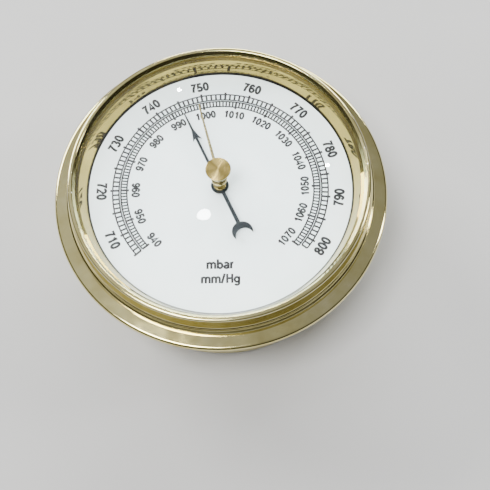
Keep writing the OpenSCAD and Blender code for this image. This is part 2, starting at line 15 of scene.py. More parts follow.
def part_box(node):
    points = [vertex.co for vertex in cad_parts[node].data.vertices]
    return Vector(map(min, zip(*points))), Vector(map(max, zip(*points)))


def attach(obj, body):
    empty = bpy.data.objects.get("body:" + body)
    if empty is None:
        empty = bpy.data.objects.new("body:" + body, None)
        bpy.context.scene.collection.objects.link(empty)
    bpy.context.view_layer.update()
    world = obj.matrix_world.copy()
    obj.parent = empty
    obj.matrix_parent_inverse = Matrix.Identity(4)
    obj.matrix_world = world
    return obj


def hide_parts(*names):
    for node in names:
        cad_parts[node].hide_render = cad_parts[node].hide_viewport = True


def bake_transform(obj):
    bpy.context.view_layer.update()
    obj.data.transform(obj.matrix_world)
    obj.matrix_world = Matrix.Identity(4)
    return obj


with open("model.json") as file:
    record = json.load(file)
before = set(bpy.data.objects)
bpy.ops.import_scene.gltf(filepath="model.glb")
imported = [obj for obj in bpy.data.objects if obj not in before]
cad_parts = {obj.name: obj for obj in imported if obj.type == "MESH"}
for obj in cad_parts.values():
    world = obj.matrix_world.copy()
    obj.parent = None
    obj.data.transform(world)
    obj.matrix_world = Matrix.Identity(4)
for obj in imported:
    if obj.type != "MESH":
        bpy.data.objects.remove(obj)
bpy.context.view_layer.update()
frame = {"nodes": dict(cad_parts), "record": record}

MM = 0.001
SEGMENTS = 256
SMALL_SEGMENTS = 96
AROUND = 2 * math.pi
# Corners nearer than this are one, in metres.
WELD = 1e-7


def low(node):
    """A CAD node's lowest corner, in millimetres."""
    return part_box(node)[0] / MM


def high(node):
    """A CAD node's highest corner, in millimetres."""
    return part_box(node)[1] / MM


# Driving sizes, read from the frame.
DIAL_Z = high("dial").z
DIAL_R = high("dial").x
DRUM_R = high("case_drum").x
FLANGE_R = high("mounting_flange").x
CRYSTAL_R = high("crystal").x
CRYSTAL_TOP = high("crystal").z - DIAL_Z
CRYSTAL_T = 1.0
REFLECTOR_H = high("reflector_ring").z - DIAL_Z
KNOB_R = high("set_knob").x
KNOB_TOP = high("set_knob").z - DIAL_Z
HAND_EDGE = 0.03

# The scale: two degrees for each millibar, 1005 mbar at 12 o'clock.
TOP_MBAR = 1005
DEG_PER_MBAR = 2
MBAR_PER_MMHG = 1.333224
POINTER_ANGLE = 23.6
SET_HAND_ANGLE = 13.5


# ---- outlines ----

def arc(cx, cy, radius, start, end, steps):
    """Points on an arc, from one angle to another, in degrees."""
    angles = [math.radians(start + (end - start) * i / steps) for i in range(steps + 1)]
    return [(cx + radius * math.cos(a), cy + radius * math.sin(a)) for a in angles]


def fillet(corners, closed=True, steps=5):
    """Profile points (r, z, normal r, normal z) round corners (r, z, fillet), solid on the left."""
    out = []
    count = len(corners)
    for i, (r, z, radius) in enumerate(corners):
        here = Vector((r, z))
        before = Vector(corners[i - 1][:2])
        after = Vector(corners[(i + 1) % count][:2])
        if not closed and i in (0, count - 1):
            along = (after - here if i == 0 else here - before).normalized()
            out.append((r, z, along.y, -along.x))
            continue
        d1, d2 = (here - before).normalized(), (after - here).normalized()
        n1 = Vector((d1.y, -d1.x))
        turn = math.atan2(d1.x * d2.y - d1.y * d2.x, d1.dot(d2))
        reach = radius * math.tan(abs(turn) / 2)
        limit = 0.48 * min((here - before).length, (after - here).length)
        if reach > limit:
            radius *= limit / reach
            reach = limit
        side = 1 if turn > 0 else -1
        centre = here - d1 * reach - n1 * radius * side
        for k in range(steps + 1):
            normal = n1.copy()
            normal.rotate(Matrix.Rotation(turn * k / steps, 2))
            point = centre + normal * radius * side
            out.append((point.x, point.y, normal.x, normal.y))
    return out


def smooth_line(points):
    """Profile points with normals for a smooth open curve, solid on the left."""
    out = []
    for i, point in enumerate(points):
        before = Vector(points[max(i - 1, 0)])
        after = Vector(points[min(i + 1, len(points) - 1)])
        along = (after - before).normalized()
        out.append((point[0], point[1], along.y, -along.x))
    return out


# ---- meshes ----

def add_object(name, mesh):
    piece = bpy.data.objects.new(name, mesh)
    bpy.context.scene.collection.objects.link(piece)
    return piece


def lathe(name, profile, closed=True, z0=DIAL_Z, segments=SEGMENTS):
    """A turned piece from a profile of fillet() or smooth_line() points, z measured from z0."""
    tiny = 1e-4
    verts, normals, rings = [], [], []
    for r, z, nr, nz in profile:
        first = len(verts)
        if abs(r) < tiny:
            verts.append((0, 0, (z + z0) * MM))
            normals.append((0, 0, 1 if nz > 0 else -1))
            rings.append([first] * segments)
            continue
        for s in range(segments):
            a = AROUND * s / segments
            verts.append((r * MM * math.cos(a), r * MM * math.sin(a), (z + z0) * MM))
            normals.append((nr * math.cos(a), nr * math.sin(a), nz))
        rings.append(list(range(first, first + segments)))
    faces = []
    pairs = list(zip(rings, rings[1:] + rings[:1])) if closed else list(zip(rings, rings[1:]))
    for lower, upper in pairs:
        for s in range(segments):
            t = (s + 1) % segments
            face = [lower[s], lower[t], upper[t], upper[s]]
            faces.append(list(dict.fromkeys(face)))
    mesh = bpy.data.meshes.new(name)
    mesh.from_pydata(verts, [], faces)
    mesh.validate()
    for polygon in mesh.polygons:
        polygon.use_smooth = True
    mesh.normals_split_custom_set_from_vertices(normals)
    return add_object(name, mesh)


def curve_plate(name, outlines, z, thickness, edge=0.0):
    """A flat plate from closed outlines, holes among them, with its underside at z."""
    curve = bpy.data.curves.new(name, "CURVE")
    curve.dimensions = "2D"
    curve.fill_mode = "BOTH"
    curve.extrude = max(thickness / 2 - edge, 0) * MM
    curve.bevel_depth = edge * MM
    curve.bevel_resolution = 1
    curve.offset = -edge * MM
    for outline in outlines:
        spline = curve.splines.new("POLY")
        spline.points.add(len(outline) - 1)
        spline.use_cyclic_u = True
        for point, (x, y) in zip(spline.points, outline):
            point.co = (x * MM, y * MM, 0, 1)
    source = add_object(name, curve)
    source.location.z = (z + thickness / 2) * MM
    return as_mesh(source)


def as_mesh(source):
    """Turns a curve or text object into a mesh object of the same name, with its place in the mesh."""
    bpy.context.view_layer.update()
    shown = source.evaluated_get(bpy.context.evaluated_depsgraph_get())
    mesh = bpy.data.meshes.new_from_object(shown)
    mesh.transform(source.matrix_world)
    name, data = source.name, source.data
    bpy.data.objects.remove(source)
    bpy.data.curves.remove(data)
    mesh.name = name
    weld(mesh)
    return add_object(name, mesh)


def weld(mesh):
    bm = bmesh.new()
    bm.from_mesh(mesh)
    bmesh.ops.remove_doubles(bm, verts=bm.verts, dist=WELD)
    bmesh.ops.recalc_face_normals(bm, faces=bm.faces)
    bm.to_mesh(mesh)
    bm.free()


def smooth_by_angle(piece, degrees=30):
    for polygon in piece.data.polygons:
        polygon.use_smooth = True
    piece.data.set_sharp_from_angle(angle=math.radians(degrees))


def add_prism(bm, outline, z, thickness):
    """Adds a thin prism on a closed outline of (x, y) points, anticlockwise."""
    under = [bm.verts.new((x * MM, y * MM, z * MM)) for x, y in outline]
    over = [bm.verts.new((x * MM, y * MM, (z + thickness) * MM)) for x, y in outline]
    bm.faces.new(over)
    bm.faces.new(under[::-1])
    for i in range(len(outline)):
        k = (i + 1) % len(outline)
        bm.faces.new((under[i], under[k], over[k], over[i]))


def from_bmesh(name, bm):
    """A mesh object from a bmesh, which is freed."""
    mesh = bpy.data.meshes.new(name)
    bm.to_mesh(mesh)
    bm.free()
    return add_object(name, mesh)


def prism_list(name, prisms, z, thickness):
    """One mesh of many thin prisms."""
    bm = bmesh.new()
    for outline in prisms:
        add_prism(bm, outline, z, thickness)
    return from_bmesh(name, bm)


def turn_z(piece, degrees):
    """Turns a mesh about the dial's axis, anticlockwise."""
    piece.data.transform(Matrix.Rotation(math.radians(degrees), 4, "Z"))
    return piece


def finish_piece(piece, material, body, slot, *nodes):
    """Gives a piece its material and its body and hides the CAD nodes it stands for; slot is not used.
    """
    piece.data.materials.clear()
    piece.data.materials.append(MATERIALS[material])
    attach(piece, body)
    if nodes:
        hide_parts(*nodes)
    return piece


def bend_piece(piece, slot, node):
    """Finishes a piece of the moving parts: gives it the material of its slot, puts its place into its
    mesh and hides the CAD node it stands for.
    """
    piece.data.materials.append(MATERIALS[slot])
    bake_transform(piece)
    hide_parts(node)


# ---- material helpers ----

def set_stops(ramp, stops):
    """Sets a colour ramp's stops, each (place, (r, g, b))."""
    elements = ramp.color_ramp.elements
    while len(elements) < len(stops):
        elements.new(0.5)
    for element, (place, colour) in zip(elements, stops):
        element.position = place
        element.color = (*colour, 1)


class Nodes:
    """A material's node tree with short ways to add the nodes this script needs."""

    def __init__(self, name):
        self.material = bpy.data.materials.new(name)
        self.material.use_nodes = True
        self.tree = self.material.node_tree
        self.tree.nodes.clear()
        self.output = self.add("ShaderNodeOutputMaterial")
        self.shader = self.add("ShaderNodeBsdfPrincipled")
        self.link(self.shader.outputs[0], self.output.inputs["Surface"])

    def add(self, kind, **settings):
        node = self.tree.nodes.new(kind)
        for key, value in settings.items():
            setattr(node, key, value)
        return node

    def link(self, source, target):
        self.tree.links.new(source, target)

    def set(self, **values):
        """Sets the shader's own sockets; an underscore stands for a space."""
        for key, value in values.items():
            self.shader.inputs[key.replace("_", " ")].default_value = value
        return self

    def place(self):
        """The point's place in the CAD frame, in metres."""
        return self.add("ShaderNodeTexCoord").outputs["Object"]

    def math(self, operation, a, b=None):
        node = self.add("ShaderNodeMath", operation=operation)
        for socket, value in zip(node.inputs, (a, b)):
            if isinstance(value, (int, float)):
                socket.default_value = value
            elif value is not None:
                self.link(value, socket)
        return node.outputs[0]

    def turned(self, across, around=0.0):
        """A vector that is the same all round the dial's axis, for marks left by a lathe."""
        split = self.add("ShaderNodeSeparateXYZ")
        self.link(self.place(), split.inputs[0])
        x2 = self.math("MULTIPLY", split.outputs[0], split.outputs[0])
        y2 = self.math("MULTIPLY", split.outputs[1], split.outputs[1])
        radius = self.math("SQRT", self.math("ADD", x2, y2))
        angle = self.math("ARCTAN2", split.outputs[1], split.outputs[0])
        merge = self.add("ShaderNodeCombineXYZ")
        self.link(self.math("MULTIPLY", radius, across), merge.inputs[0])
        self.link(self.math("MULTIPLY", split.outputs[2], across), merge.inputs[1])
        self.link(self.math("MULTIPLY", self.math("COSINE", angle), around), merge.inputs[2])
        return merge.outputs[0]

    def stretched(self, x, y, z):
        """The point's place with each axis scaled, for a grain that runs one way."""
        node = self.add("ShaderNodeVectorMath", operation="MULTIPLY")
        self.link(self.place(), node.inputs[0])
        node.inputs[1].default_value = (x, y, z)
        return node.outputs[0]

    def noise(self, vector, scale, detail=2.0, roughness=0.5):
        node = self.add("ShaderNodeTexNoise")
        self.link(vector, node.inputs["Vector"])
        node.inputs["Scale"].default_value = scale
        node.inputs["Detail"].default_value = detail
        node.inputs["Roughness"].default_value = roughness
        return node.outputs["Fac"]

    def spread(self, value, low_in, high_in, low_out, high_out):
        node = self.add("ShaderNodeMapRange")
        self.link(value, node.inputs["Value"])
        settings = (low_in, high_in, low_out, high_out)
        for key, number in zip(("From Min", "From Max", "To Min", "To Max"), settings):
            node.inputs[key].default_value = number
        return node.outputs["Result"]

    def ramp(self, value, *stops):
        """Colours along a value; each stop is (place, (r, g, b))."""
        node = self.add("ShaderNodeValToRGB")
        self.link(value, node.inputs["Fac"])
        set_stops(node, stops)
        return node.outputs["Color"]

    def faded(self, colour, z_low, z_high, share):
        """A colour that falls to a share of itself below a height: painted shade."""
        split = self.add("ShaderNodeSeparateXYZ")
        self.link(self.place(), split.inputs[0])
        node = self.add("ShaderNodeVectorMath", operation="SCALE")
        self.link(colour, node.inputs[0])
        self.link(self.spread(split.outputs[2], z_low, z_high, share, 1.0), node.inputs["Scale"])
        return node.outputs[0]

    def bump(self, height, strength, distance, normal=None):
        node = self.add("ShaderNodeBump")
        node.inputs["Strength"].default_value = strength
        node.inputs["Distance"].default_value = distance
        self.link(height, node.inputs["Height"])
        if normal is not None:
            self.link(normal, node.inputs["Normal"])
        return node.outputs["Normal"]

    def colour(self, source):
        self.link(source, self.shader.inputs["Base Color"])
        return self

    def rough(self, source):
        self.link(source, self.shader.inputs["Roughness"])
        return self

    def normal(self, source):
        self.link(source, self.shader.inputs["Normal"])
        return self


# ---- materials ----

def polished_brass():
    """Lacquered brass with faint lathe lines, hazy patches and a little tarnish."""
    n = Nodes("polished_brass").set(Metallic=1.0)
    haze = n.noise(n.place(), 90, 4, 0.6)
    dull, clean, bright = (0.62, 0.53, 0.22), (0.72, 0.64, 0.30), (0.80, 0.72, 0.39)
    n.colour(n.ramp(haze, (0.30, dull), (0.52, clean), (0.72, bright)))
    lines = n.noise(n.turned(1.0, 0.002), 9000, 3, 0.7)
    patches = n.noise(n.place(), 260, 3, 0.6)
    cloudy = n.spread(patches, 0.35, 0.7, 0.06, 0.13)
    n.rough(n.math("ADD", cloudy, n.spread(lines, 0.3, 0.7, 0.0, 0.04)))
    wave = n.bump(n.noise(n.place(), 160, 2), 0.10, 0.0004)
    n.normal(n.bump(lines, 0.05, 0.00002, wave))
    return n.material


def turned_brass():
    """Bare turned brass, with the rings left by the tool."""
    n = Nodes("turned_brass").set(Metallic=1.0)
    rings = n.noise(n.turned(1.0, 0.001), 7000, 3, 0.8)
    n.colour(n.ramp(n.noise(n.place(), 400, 3), (0.3, (0.36, 0.29, 0.12)), (0.7, (0.50, 0.42, 0.19))))
    n.rough(n.spread(rings, 0.3, 0.7, 0.16, 0.32))
    n.normal(n.bump(rings, 0.25, 0.00003))
    return n.material


def knob_brass():
    """The setting knob's brass: its face is brushed round and round, so it shows bright wedges; below
    the rim its colour is painted darker, as painted shade on the cone side.
    """
    n = Nodes("knob_brass").set(Metallic=1.0, Anisotropic=0.9, Anisotropic_Rotation=0.25)
    tangent = n.add("ShaderNodeTangent", direction_type="RADIAL", axis="Z")
    n.link(tangent.outputs[0], n.shader.inputs["Tangent"])
    rings = n.noise(n.turned(1.0, 0.0006), 9000, 4, 0.8)
    brass = n.ramp(rings, (0.3, (0.40, 0.295, 0.085)), (0.7, (0.60, 0.47, 0.165)))
    # Painted shade: below the rim the brass falls to 0.42 of its colour, so the cone side looks shaded.
    knob_shade_z = (KNOB_TOP + DIAL_Z - 0.6) * MM
    n.colour(n.faded(brass, knob_shade_z - 0.1 * MM, knob_shade_z, 0.42))
    n.rough(n.spread(rings, 0.3, 0.7, 0.22, 0.28))
    n.normal(n.bump(rings, 0.08, 0.00002))
    return n.material


def plate_brass():
    """Rolled brass plate with a straight grain."""
    n = Nodes("plate_brass").set(Metallic=1.0)
    grain = n.noise(n.stretched(1, 0.008, 1), 16000, 3, 0.7)
    n.colour(n.ramp(n.noise(n.place(), 220, 4), (0.3, (0.54, 0.43, 0.19)), (0.7, (0.66, 0.54, 0.27))))
    n.rough(n.spread(grain, 0.3, 0.7, 0.27, 0.35))
    n.normal(n.bump(grain, 0.06, 0.00002))
    return n.material


def gilt_reflector():
    """A bright gilt ring, polished like a mirror inside, with painted shade that darkens its foot to a
    dark line where it meets the dial.
    """
    n = Nodes("gilt_reflector").set(Metallic=1.0)
    lines = n.noise(n.turned(1.0, 0.001), 8000, 2, 0.6)
    gilt = n.ramp(n.noise(n.place(), 140, 3), (0.3, (0.36, 0.27, 0.065)), (0.7, (0.42, 0.32, 0.085)))
    # Painted shade: up to 0.6 mm over the dial the gilt falls to 3 % of its colour, rising to full by
    # 0.78 mm.
    n.colour(n.faded(gilt, (DIAL_Z + 0.60) * MM, (DIAL_Z + 0.78) * MM, 0.03))
    n.rough(n.spread(lines, 0.3, 0.7, 0.015, 0.045))
    n.normal(n.bump(lines, 0.01, 0.00002))
    return n.material


def capsule_alloy():
    """Pressed bronze sheet with soft heat colours."""
    n = Nodes("capsule_alloy").set(Metallic=1.0)
    heat = n.noise(n.turned(1.0, 0.01), 500, 3)
    n.colour(n.ramp(heat, (0.3, (0.60, 0.50, 0.34)), (0.7, (0.78, 0.70, 0.54))))
    rings = n.noise(n.turned(1.0, 0.001), 5000, 3, 0.7)
    n.rough(n.spread(rings, 0.3, 0.7, 0.24, 0.42))
    n.normal(n.bump(rings, 0.15, 0.00003))
    return n.material


def crystal_glass():
    """Clear glass that lets lamps through to the dial."""
    n = Nodes("crystal_glass").set(Transmission_Weight=1.0, IOR=1.48, Roughness=0.0)
    smear = n.noise(n.place(), 60, 3)
    n.colour(n.ramp(smear, (0.3, (0.955, 0.975, 0.97)), (0.7, (0.985, 0.992, 0.99))))
    clear = n.add("ShaderNodeBsdfTransparent")
    clear.inputs["Color"].default_value = (0.94, 0.95, 0.95, 1)
    mixed = n.add("ShaderNodeMixShader")
    path = n.add("ShaderNodeLightPath")
    n.link(path.outputs["Is Shadow Ray"], mixed.inputs["Fac"])
    n.link(n.shader.outputs[0], mixed.inputs[1])
    n.link(clear.outputs[0], mixed.inputs[2])
    n.link(mixed.outputs[0], n.output.inputs["Surface"])
    return n.material


def white_dial():
    """White lacquer on the dial, nearly smooth."""
    n = Nodes("white_dial").set(Coat_Weight=0.25, Coat_Roughness=0.15, Specular_IOR_Level=0.35)
    n.colour(n.ramp(n.noise(n.place(), 120, 3), (0.3, (0.70, 0.78, 0.805)), (0.7, (0.75, 0.83, 0.855))))
    speckle = n.noise(n.place(), 3500, 2)
    n.rough(n.spread(speckle, 0.3, 0.7, 0.42, 0.52))
    n.normal(n.bump(speckle, 0.05, 0.00002))
    return n.material


def printing_ink():
    """Black printing ink, slightly uneven."""
    n = Nodes("printing_ink").set(Specular_IOR_Level=0.1)
    cover = n.noise(n.place(), 2500, 3, 0.7)
    n.colour(n.ramp(cover, (0.3, (0.004, 0.004, 0.005)), (0.75, (0.014, 0.014, 0.016))))
    n.rough(n.spread(cover, 0.3, 0.7, 0.5, 0.65))
    return n.material


def black_rubber():
    """Matt black rubber with a fine grain."""
    n = Nodes("black_rubber").set(Specular_IOR_Level=0.35)
    grain = n.noise(n.place(), 1800, 4, 0.7)
    n.colour(n.ramp(grain, (0.3, (0.010, 0.010, 0.010)), (0.7, (0.030, 0.029, 0.027))))
    n.rough(n.spread(grain, 0.3, 0.7, 0.55, 0.8))
    n.normal(n.bump(grain, 0.3, 0.00003))
    return n.material


def plain_steel():
    """Bright ground steel."""
    n = Nodes("plain_steel").set(Metallic=1.0)
    grain = n.noise(n.stretched(0.08, 1, 1), 5000, 3, 0.7)
    n.colour(n.ramp(n.noise(n.place(), 300, 3), (0.3, (0.50, 0.51, 0.52)), (0.7, (0.64, 0.65, 0.66))))
    n.rough(n.spread(grain, 0.3, 0.7, 0.18, 0.34))
    n.normal(n.bump(grain, 0.15, 0.00002))
    return n.material


def blued_steel():
    """Heat-blued spring steel, from purple to deep blue."""
    n = Nodes("blued_steel").set(Metallic=1.0)
    heat = n.noise(n.place(), 130, 3)
    indigo, blue, purple = (0.035, 0.045, 0.13), (0.05, 0.09, 0.24), (0.12, 0.09, 0.20)
    n.colour(n.ramp(heat, (0.3, indigo), (0.55, blue), (0.8, purple)))
    grain = n.noise(n.stretched(0.05, 1, 1), 4500, 2, 0.6)
    n.rough(n.spread(grain, 0.3, 0.7, 0.20, 0.32))
    n.normal(n.bump(grain, 0.1, 0.00002))
    return n.material


def blackened_steel():
    """Blue-black lacquer on the pointer."""
    n = Nodes("blackened_steel").set(Specular_IOR_Level=0.2)
    coat = n.noise(n.place(), 900, 3)
    n.colour(n.ramp(coat, (0.3, (0.004, 0.006, 0.008)), (0.7, (0.009, 0.013, 0.017))))
    n.rough(n.spread(coat, 0.3, 0.7, 0.30, 0.42))
    n.normal(n.bump(n.noise(n.place(), 4000, 2), 0.05, 0.00002))
    return n.material


def pale_floor():
    """A plain pale grey surface."""
    n = Nodes("pale_floor").set(Specular_IOR_Level=0.2)
    cloud = n.noise(n.place(), 12, 4)
    n.colour(n.ramp(cloud, (0.3, (0.44, 0.44, 0.44)), (0.7, (0.48, 0.48, 0.48))))
    n.rough(n.spread(cloud, 0.3, 0.7, 0.6, 0.7))
    return n.material


MATERIALS = {
    make.__name__: make()
    for make in (
        polished_brass, turned_brass, plate_brass, gilt_reflector, capsule_alloy, crystal_glass,
        white_dial, black_rubber, plain_steel, blued_steel, blackened_steel, knob_brass,
        printing_ink,
    )
}


def paint_cad_nodes():
    """Gives every CAD node the material of its slot."""
    slots = {row["node"]: row["material_slot"] for row in frame["record"]["subparts"]}
    for name, node in frame["nodes"].items():
        material = MATERIALS[slots[name]]
        for slot in node.material_slots:
            slot.material = material


# ---- case ----

def build_flange():
    """The flange with its spigot behind and its collar in front, which holds the bezel."""
    rear = low("mounting_flange").z - DIAL_Z
    seat = -2.4
    face = -0.3
    collar = 3.6
    profile = fillet([
        (DRUM_R - 1.22, rear, 0.05), (DRUM_R - 0.62, rear, 0.1),
        (DRUM_R - 0.62, seat + 0.1, 0.02), (DRUM_R + 0.02, seat + 0.1, 0.02),
        (DRUM_R + 0.02, seat, 0.03), (FLANGE_R, seat, 0.86),
        (FLANGE_R, -0.66, 0.86), (DRUM_R + 3.2, face, 0.6),
        (DRUM_R + 1.6, face, 0.04), (DRUM_R + 1.6, collar, 0.08),
        (DRUM_R + 1, collar, 0.08), (DRUM_R + 1, face, 0.03),
        (DRUM_R - 0.6, face, 0.03), (DRUM_R - 0.6, -1.2, 0.03), (DRUM_R - 1.22, -1.2, 0.05),
    ], steps=8)
    piece = lathe("mounting_flange_turned", profile)
    finish_piece(piece, "polished_brass", "case", "polished_brass", "mounting_flange")


def build_bezel():
    """The stepped bezel, with a rounded crest and a lip that slopes down to the crystal."""
    top = high("bezel_ring").z - DIAL_Z
    foot = low("bezel_ring").z - DIAL_Z
    profile = fillet([
        (DRUM_R + 1.65, foot, 0.05), (DRUM_R + 3.05, foot, 0.10),
        (DRUM_R + 3.05, 1.25, 0.30), (DRUM_R + 2.5, 1.65, 0.25),
        (DRUM_R + 2.5, 2.65, 0.22), (DRUM_R + 2.2, 3.0, 0.25),
        (DRUM_R + 1.80, top, 0.62), (DRUM_R + 0.72, top, 0.30),
        (DRUM_R + 0.05, top - 0.94, 0.05), (DRUM_R + 0.05, top - 1.0, 0.02),
        (DRUM_R + 1, top - 1.0, 0.04), (DRUM_R + 1, 3.75, 0.04), (DRUM_R + 1.65, 3.75, 0.04),
    ], steps=8)
    piece = lathe("bezel_ring_turned", profile)
    finish_piece(piece, "polished_brass", "case", "polished_brass", "bezel_ring")


def build_crystal():
    """The domed crystal, with a hole for the setting knob's stem."""
    rise = 1.45
    dome = (CRYSTAL_R ** 2 + rise ** 2) / (2 * rise)
    steps = 28
    hole = 1.15
    bevel = 0.06

    def surface(sink):
        radii = [hole + (CRYSTAL_R - bevel - hole) * i / steps for i in range(steps + 1)]
        return [(r, CRYSTAL_TOP - sink - dome + math.sqrt(dome ** 2 - r ** 2)) for r in radii]

    over, under = surface(0), surface(CRYSTAL_T)
    rim = [(CRYSTAL_R, under[-1][1] + bevel, 1, 0), (CRYSTAL_R, over[-1][1] - bevel, 1, 0)]
    profile = smooth_line(under) + rim + smooth_line(over[::-1])
    piece = lathe("crystal_dome", profile)
    finish_piece(piece, "crystal_glass", "case", "crystal_glass", "crystal")


def build_gaskets():
    """The seal under the crystal, the ring round the dial and the knob's washer."""
    seal_t = 0.2
    seal = fillet([
        (DRUM_R + 0.5, REFLECTOR_H, 0.03), (DRUM_R + 0.8, REFLECTOR_H, 0.03),
        (DRUM_R + 0.8, REFLECTOR_H + seal_t, 0.05), (DRUM_R + 0.5, REFLECTOR_H + seal_t, 0.05),
    ])
    rubber = "black_rubber"
    finish_piece(lathe("crystal_seal", seal), rubber, "case", rubber, "crystal_gasket")
    spacer_t = 0.8
    spacer = fillet([
        (DRUM_R - 1.5, 0, 0.02), (DRUM_R - 0.8, 0, 0.02),
        (DRUM_R - 0.8, spacer_t, 0.05), (DRUM_R - 1.5, spacer_t, 0.05),
    ])
    finish_piece(lathe("dial_spacer", spacer), rubber, "case", rubber, "dial_gasket")
    bottom = low("knob_washer").z - DIAL_Z
    top = high("knob_washer").z - DIAL_Z
    washer_r, hole = high("knob_washer").x, 1.13
    washer = fillet([
        (hole, bottom, 0.02), (washer_r, bottom, 0.06), (washer_r, top, 0.06), (hole, top, 0.02),
    ])
    collar = lathe("knob_collar", washer, segments=SMALL_SEGMENTS)
    finish_piece(collar, "turned_brass", "case", "turned_brass", "knob_washer")


def build_reflector():
    """The bright ring between the dial and the crystal, with a chamfered top.

    Its inside leans out from the dial's axis by 48 degrees at the foot and by 21 to 25 above it.
    """
    foot, rim = 0.8, 0.45
    tip_r, tip_z = DRUM_R - 2.53, 0.03
    steps = 40
    top = REFLECTOR_H - 0.59
    curve = [(tip_r, tip_z)]
    for i in range(1, steps + 1):
        z = tip_z + (top - tip_z) * (i / steps) ** 1.6
        lean = math.radians(20.6 + 27.9 * math.exp(-z / 0.55) + 4 * (z / REFLECTOR_H) ** 4)
        last_r, last_z = curve[-1]
        curve.append((last_r + math.tan(lean) * (z - last_z), z))
    curve.append((curve[-1][0] + 0.02, top + 0.012))
    curve.append((DRUM_R + 0.24, REFLECTOR_H - 0.02))
    curve.append((DRUM_R + 0.28, REFLECTOR_H))
    inside = smooth_line(curve[::-1])
    outside = fillet([
        (tip_r, tip_z, 0.0), (tip_r + 0.3, tip_z, 0.05), (DRUM_R - 1.6, foot, 0.05),
        (DRUM_R - 0.8, foot, 0.05), (DRUM_R - 0.8, foot + 0.4, 0.05),
        (DRUM_R - 1.3, foot + 0.4, 0.1), (DRUM_R + 0.19, REFLECTOR_H - rim, 0.1),
        (DRUM_R + 0.9, REFLECTOR_H - rim, 0.05), (DRUM_R + 0.9, REFLECTOR_H, 0.05),
        (curve[-1][0], REFLECTOR_H, 0.0),
    ], closed=False)
    piece = lathe("reflector_ring_turned", inside + outside)
    finish_piece(piece, "gilt_reflector", "case", "gilt_reflector", "reflector_ring")


# ---- dial ----

def build_dial():
    """The dial's plate, with a hole for the arbor."""
    hole = 1.6
    thickness = high("dial").z - low("dial").z
    profile = fillet([
        (hole, -thickness, 0.03), (DIAL_R, -thickness, 0.05), (DIAL_R, 0, 0.05), (hole, 0, 0.05),
    ])
    piece = lathe("dial_plate", profile)
    finish_piece(piece, "white_dial", "case", "white_dial", "dial")


def on_dial(radius, clockwise):
    """The point at that radius and angle, clockwise from 12 o'clock."""
    a = math.radians(clockwise)
    return radius * math.sin(a), radius * math.cos(a)


def mbar_angle(value):
    return (value - TOP_MBAR) * DEG_PER_MBAR


def mmhg_angle(value):
    return mbar_angle(value * MBAR_PER_MMHG)


def tick(clockwise, r0, r1, width):
    """A mark across a scale band, as an outline."""
    a = math.radians(clockwise)
    side = Vector((math.cos(a), -math.sin(a))) * width / 2
    inner, outer = Vector(on_dial(r0, clockwise)), Vector(on_dial(r1, clockwise))
    return [tuple(p) for p in (inner - side, inner + side, outer + side, outer - side)]


def band_line(radius, width, start, end):
    """A circle line of a scale band, as short outlines end to end."""
    steps = 180
    out = []
    for i in range(steps):
        a, b = (start + (end - start) * k / steps for k in (i, i + 1))
        out.append([
            on_dial(radius - width / 2, a), on_dial(radius - width / 2, b),
            on_dial(radius + width / 2, b), on_dial(radius + width / 2, a),
        ])
    return out


# The ink starts just inside the dial's face.
INK_Z = DIAL_Z - 0.004
INK_T = 0.016


def scale_ladder(angle, values, step, inner, outer, reach, fine):
    """One scale: a mark for each value between two circle lines; every step's mark goes to reach."""
    line = 0.58
    rail = 0.40
    prisms = []
    for value in values:
        long = value % step == 0
        r0 = reach if long and reach < inner else inner
        r1 = reach if long and reach > outer else outer
        prisms.append(tick(angle(value), r0, r1, line if long else fine))
    for radius in (inner, outer):
        prisms += band_line(radius, rail, angle(values[0]), angle(values[-1]))
    return prisms


def build_scales():
    """Both scales: millibars inside, millimetres of mercury outside."""
    prisms = scale_ladder(mbar_angle, range(940, 1071), 10, 23.8, 25.3, 23.2, 0.43)
    prisms += scale_ladder(mmhg_angle, range(705, 803), 5, 25.8, 27.4, 28.05, 0.50)
    piece = prism_list("dial_scales", [anticlockwise(p) for p in prisms], INK_Z, INK_T)
    finish_piece(piece, "printing_ink", "case", "white_dial")


def anticlockwise(outline):
    """The outline, turned round if it runs clockwise."""
    area = sum(a[0] * b[1] - b[0] * a[1] for a, b in zip(outline, outline[1:] + outline[:1]))
    return outline[::-1] if area < 0 else outline


# Characters are pen strokes on a line, with digits and capitals CAP high, small letters SMALL
# high and digits ADVANCE apart.
CAP = 0.69
SMALL = 0.49
ADVANCE = 0.5


def oval(cx, cy, rx, ry, start=0, end=360, steps=14):
    """Points on an ellipse's arc, in degrees."""
    return [(cx + rx * x, cy + ry * y) for x, y in arc(0, 0, 1, start, end, steps)]


